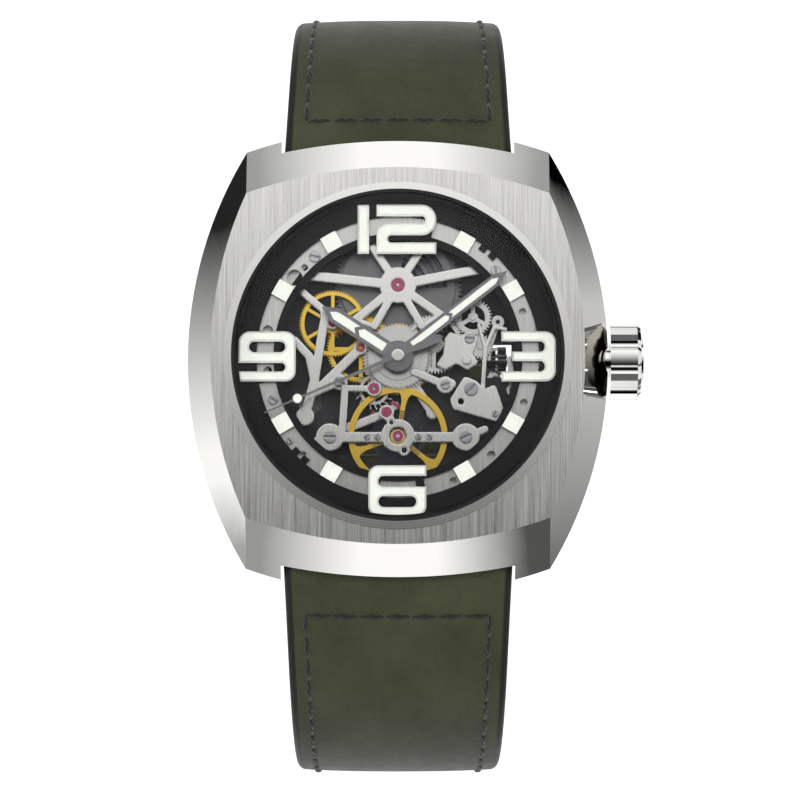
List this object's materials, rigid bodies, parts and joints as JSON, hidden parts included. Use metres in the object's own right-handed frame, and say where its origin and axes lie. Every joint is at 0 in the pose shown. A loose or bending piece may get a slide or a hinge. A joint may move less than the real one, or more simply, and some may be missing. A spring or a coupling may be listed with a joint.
{
  "type": "wristwatch",
  "caption": "Automatic skeleton wristwatch: cushion steel case, open dial showing its gear train and balance, raised numerals, fluted crown and a tapered leather strap with a buckle.",
  "frame": {"origin": "centre of the case back's outer face, on the axis of the hands", "axes": "+Z out of the dial, +Y towards twelve o'clock, +X towards three o'clock and the crown"},
  "size_m": [0.0438, 0.0752, 0.0635],
  "materials": {
    "case_steel": "brushed top, polished bevels",
    "polished_steel": "polished",
    "sapphire": "clear",
    "gasket_black": "matt",
    "movement_steel": "brushed and bevelled",
    "plate_black": "satin black",
    "dial_black": "matt black",
    "gilt": "gilt, satin",
    "ruby": "polished ruby",
    "lume": "pale luminous paint",
    "hand_grey": "satin grey",
    "spring_steel": "blued grey",
    "strap_leather": "waxed olive green",
    "weight_steel": "satin"
  },
  "bodies": {
    "case": {"case_middle": "case_steel", "bezel_ring": "polished_steel", "crystal": "sapphire", "crystal_gasket": "gasket_black", "case_back": "case_steel", "back_crystal": "sapphire", "crown_tube": "polished_steel", "movement_ring": "movement_steel", "mainplate": "plate_black", "barrel_bridge": "movement_steel", "train_bridge": "movement_steel", "balance_bridge": "movement_steel", "centre_bridge": "movement_steel", "pallet_bridge": "movement_steel", "setting_plate": "movement_steel", "minute_wheel_bridge": "movement_steel", "setting_lever_spring": "movement_steel", "jewels": "ruby", "bridge_screws": "polished_steel", "dial": "dial_black", "hour_blocks": "lume", "applied_numerals": "lume", "spring_bars": "polished_steel"},
    "winding_pinion": {"winding_pinion": "movement_steel"},
    "crown": {"crown": "polished_steel", "stem": "polished_steel"},
    "sliding_pinion": {"sliding_pinion": "movement_steel"},
    "crown_wheel": {"crown_wheel": "movement_steel"},
    "ratchet": {"ratchet_wheel": "movement_steel", "barrel_arbor": "movement_steel"},
    "click": {"click": "movement_steel"},
    "barrel": {"barrel_drum": "movement_steel", "mainspring": "spring_steel"},
    "second": {"second_wheel": "gilt"},
    "third": {"third_wheel": "gilt"},
    "fourth": {"fourth_wheel": "gilt", "seconds_hand": "hand_grey"},
    "escape": {"escape_wheel": "movement_steel"},
    "cannon": {"cannon_pinion": "movement_steel", "minute_hand": "hand_grey"},
    "minute_work": {"minute_wheel": "movement_steel"},
    "hour": {"hour_wheel": "movement_steel", "hour_hand": "hand_grey"},
    "setting": {"setting_wheel": "movement_steel"},
    "setting_idler": {"intermediate_setting_wheel": "movement_steel"},
    "pallet": {"pallet_fork": "movement_steel", "pallet_stones": "ruby"},
    "balance": {"balance_wheel": "gilt", "balance_staff": "polished_steel", "hairspring": "spring_steel"},
    "rotor": {"rotor": "weight_steel"},
    "setting_lever": {"setting_lever": "movement_steel"},
    "yoke": {"yoke": "movement_steel"},
    "strap_short": {"strap_short": "strap_leather", "keeper_fixed": "strap_leather", "buckle_bar": "polished_steel"},
    "keeper_sliding": {"keeper_sliding": "strap_leather"},
    "buckle_frame": {"buckle_frame": "polished_steel"},
    "buckle_tongue": {"buckle_tongue": "polished_steel"},
    "strap_long": {"strap_long": "strap_leather"}
  },
  "joints": [
    {"name": "minute_turn", "type": "hinge", "parent": "case", "child": "cannon", "pos_m": [0, 0, 0.005], "axis": [0, 0, 1], "continuous": true},
    {"name": "hour_turn", "type": "hinge", "parent": "case", "child": "hour", "pos_m": [0, 0, 0.005], "axis": [0, 0, 1], "continuous": true},
    {"name": "minute_work_turn", "type": "hinge", "parent": "case", "child": "minute_work", "pos_m": [0.00345, 0.00138, 0.005], "axis": [0, 0, 1], "continuous": true},
    {"name": "setting_turn", "type": "hinge", "parent": "case", "child": "setting", "pos_m": [0.0072, 0.00394, 0.005], "axis": [0, 0, 1], "continuous": true},
    {"name": "setting_idler_turn", "type": "hinge", "parent": "case", "child": "setting_idler", "pos_m": [0.0079, 0.00114, 0.005], "axis": [0, 0, 1], "continuous": true},
    {"name": "third_turn", "type": "hinge", "parent": "case", "child": "third", "pos_m": [-0.00356, 0.001, 0.005], "axis": [0, 0, 1], "continuous": true},
    {"name": "second_turn", "type": "hinge", "parent": "case", "child": "second", "pos_m": [-0.00625, 0.00341, 0.005], "axis": [0, 0, 1], "continuous": true},
    {"name": "barrel_turn", "type": "hinge", "parent": "case", "child": "barrel", "pos_m": [0, 0.007, 0.005], "axis": [0, 0, 1], "continuous": true},
    {"name": "seconds_turn", "type": "hinge", "parent": "case", "child": "fourth", "pos_m": [0, 0, 0.005], "axis": [0, 0, 1], "continuous": true},
    {"name": "escape_turn", "type": "hinge", "parent": "case", "child": "escape", "pos_m": [-0.00229, -0.003, 0.005], "axis": [0, 0, 1], "continuous": true},
    {"name": "pallet_swing", "type": "hinge", "parent": "case", "child": "pallet", "pos_m": [-0.00109, -0.00526, 0.005], "axis": [0, 0, 1], "range_deg": [-4, 4]},
    {"name": "balance_swing", "type": "hinge", "parent": "case", "child": "balance", "pos_m": [0, -0.0075, 0.005], "axis": [0, 0, 1], "range_deg": [-270, 270]},
    {"name": "rotor_turn", "type": "hinge", "parent": "case", "child": "rotor", "pos_m": [0, 0, 0.002], "axis": [0, 0, 1], "continuous": true},
    {"name": "crown_turn", "type": "hinge", "parent": "case", "child": "winding_pinion", "pos_m": [0.01, 0, 0.00435], "axis": [1, 0, 0], "continuous": true},
    {"name": "crown_pull", "type": "slide", "parent": "winding_pinion", "child": "crown", "axis": [1, 0, 0], "range_m": [0, 0.0012]},
    {"name": "clutch_shift", "type": "slide", "parent": "winding_pinion", "child": "sliding_pinion", "axis": [-1, 0, 0], "range_m": [0, 0.0006]},
    {"name": "crown_wheel_turn", "type": "hinge", "parent": "case", "child": "crown_wheel", "pos_m": [0.00612, 0, 0.003], "axis": [0, 0, 1], "continuous": true},
    {"name": "ratchet_turn", "type": "hinge", "parent": "case", "child": "ratchet", "pos_m": [0, 0.007, 0.003], "axis": [0, 0, 1], "continuous": true},
    {"name": "click_swing", "type": "hinge", "parent": "case", "child": "click", "pos_m": [-0.0063, 0.0102, 0.0029], "axis": [0, 0, 1], "range_deg": [0, 8]},
    {"name": "setting_lever_swing", "type": "hinge", "parent": "case", "child": "setting_lever", "pos_m": [0.011, -0.003, 0.006], "axis": [0, 0, 1], "range_deg": [-23.2, 0]},
    {"name": "yoke_swing", "type": "hinge", "parent": "case", "child": "yoke", "pos_m": [0.0096, 0.0036, 0.0058], "axis": [0, 0, 1], "range_deg": [-9.6, 0]},
    {"name": "strap_short_hinge", "type": "hinge", "parent": "case", "child": "strap_short", "pos_m": [0, 0.019, 0.0034], "axis": [1, 0, 0], "range_deg": [-10, 30]},
    {"name": "strap_long_hinge", "type": "hinge", "parent": "case", "child": "strap_long", "pos_m": [0, -0.019, 0.0034], "axis": [-1, 0, 0], "range_deg": [0, 30]},
    {"name": "keeper_slide", "type": "slide", "parent": "strap_short", "child": "keeper_sliding", "axis": [0, 0.9994, -0.0349], "range_m": [-0.0025, 0.004]},
    {"name": "buckle_hinge", "type": "hinge", "parent": "strap_short", "child": "buckle_frame", "pos_m": [0, -0.00549, -0.03093], "axis": [1, 0, 0], "range_deg": [-60, 20]},
    {"name": "tongue_hinge", "type": "hinge", "parent": "buckle_frame", "child": "buckle_tongue", "pos_m": [0, -0.00549, -0.03093], "axis": [1, 0, 0], "range_deg": [0, 90]}
  ],
  "couplings": [
    {"joint": "hour_turn", "follows": "minute_turn", "ratio": 0.083333},
    {"joint": "minute_work_turn", "follows": "minute_turn", "ratio": -0.33333},
    {"joint": "setting_turn", "follows": "minute_turn", "ratio": 0.52941},
    {"joint": "setting_idler_turn", "follows": "minute_turn", "ratio": -0.81818},
    {"joint": "third_turn", "follows": "minute_turn", "ratio": -8.5714},
    {"joint": "second_turn", "follows": "minute_turn", "ratio": 1.1905},
    {"joint": "barrel_turn", "follows": "minute_turn", "ratio": -0.22676},
    {"joint": "seconds_turn", "follows": "minute_turn", "ratio": 60},
    {"joint": "escape_turn", "follows": "minute_turn", "ratio": -540},
    {"joint": "crown_wheel_turn", "follows": "crown_turn", "ratio": 0.33333},
    {"joint": "ratchet_turn", "follows": "crown_turn", "ratio": -0.21053},
    {"joint": "clutch_shift", "follows": "crown_pull", "ratio": 0.5},
    {"joint": "setting_lever_swing", "follows": "crown_pull", "rad_per_m": -333.33},
    {"joint": "yoke_swing", "follows": "crown_pull", "rad_per_m": -138.89}
  ]
}
